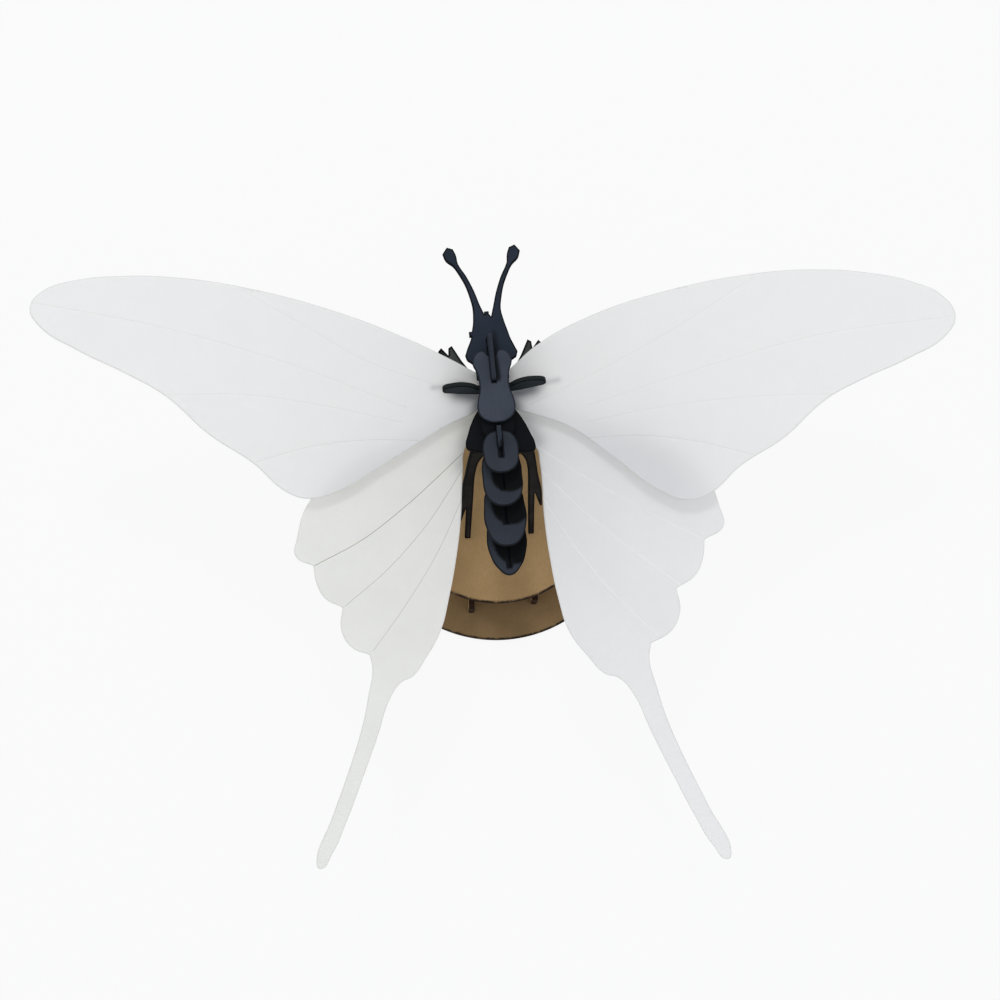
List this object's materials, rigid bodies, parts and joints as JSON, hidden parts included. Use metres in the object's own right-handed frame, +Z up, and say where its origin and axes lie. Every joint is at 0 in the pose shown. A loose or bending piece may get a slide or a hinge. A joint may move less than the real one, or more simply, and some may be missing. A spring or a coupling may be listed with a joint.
{
  "type": "card swallowtail butterfly model",
  "caption": "Slot-together card butterfly with spread paper wings and long hindwing tails, over a round two-tier board base.",
  "frame": {"origin": "centre of the lower base disc's underside, on the surface the model stands on", "axes": "+Z up, +Y toward the butterfly's head along its body, +X toward its right wing, across the span"},
  "size_m": [0.2664, 0.1914, 0.1015],
  "materials": {
    "slate_card": "matt dyed card, slate blue-grey",
    "black_card": "matt dyed card, near black",
    "wing_paper": "matt white translucent paper with scored veins",
    "kraft_board": "matt brown board with dark burnt cut edges"
  },
  "bodies": {
    "root": {"head": "slate_card", "antenna_l": "slate_card", "antenna_r": "slate_card", "thorax_plate": "slate_card", "collar_plate": "black_card", "bell_plate": "black_card", "abdomen_1": "slate_card", "abdomen_2": "slate_card", "abdomen_3": "slate_card", "abdomen_4": "slate_card", "spine": "black_card", "wing_bar": "black_card", "front_leg_l": "black_card", "front_leg_r": "black_card", "hind_leg_l": "black_card", "hind_leg_r": "black_card", "forewing_l": "wing_paper", "forewing_r": "wing_paper", "hindwing_l": "wing_paper", "hindwing_r": "wing_paper", "base_lower_disc": "kraft_board", "base_upper_disc": "kraft_board", "base_spacer_l": "kraft_board", "base_spacer_r": "kraft_board"}
  },
  "joints": []
}
